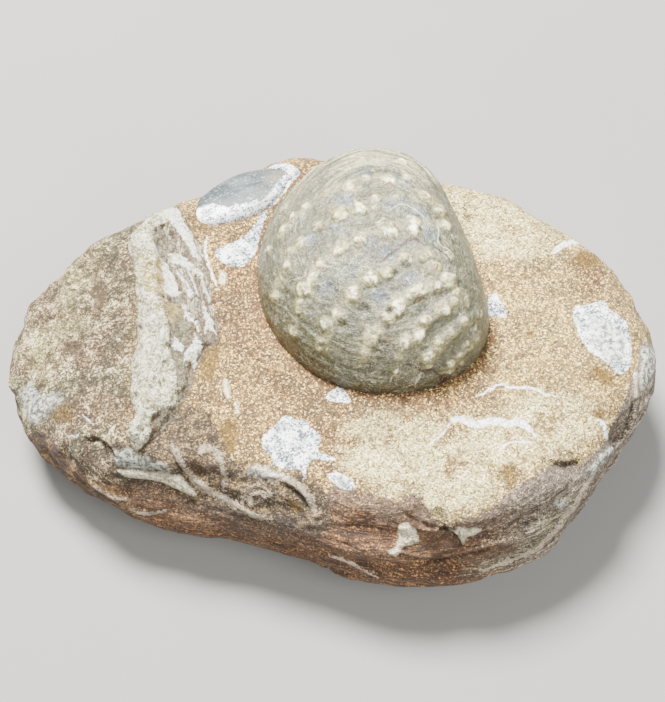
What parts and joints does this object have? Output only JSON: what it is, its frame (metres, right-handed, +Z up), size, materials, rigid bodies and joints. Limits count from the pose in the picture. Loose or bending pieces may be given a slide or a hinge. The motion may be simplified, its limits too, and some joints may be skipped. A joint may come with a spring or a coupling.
{
  "type": "fossil bivalve in a stone",
  "caption": "Fossil clam with bowed rows of knobs standing proud of a rounded sandy cobble, with a long pale ridge shell and a smooth rear shell let into its surface.",
  "frame": {"origin": "on the flat underside, below the middle of the stone's outline", "axes": "+X along the stone towards the end with the clam's beak, -Y towards the broken front wall, +Z up"},
  "size_m": [0.1465, 0.1055, 0.0575],
  "materials": {
    "stone": "rough sandy limestone, tan with white shell sections and a red-brown bedded front wall",
    "bivalve": "worn calcite shell, grey-green with cream knobs, faintly satin",
    "ridge": "rough chalky shell, cream-white with ochre hollows",
    "rear": "smooth shell, blue-grey with a white broken edge"
  },
  "bodies": {
    "root": {"stone_matrix": "stone", "bivalve_shell": "bivalve", "ridge_shell": "ridge", "rear_shell": "rear"}
  },
  "joints": []
}
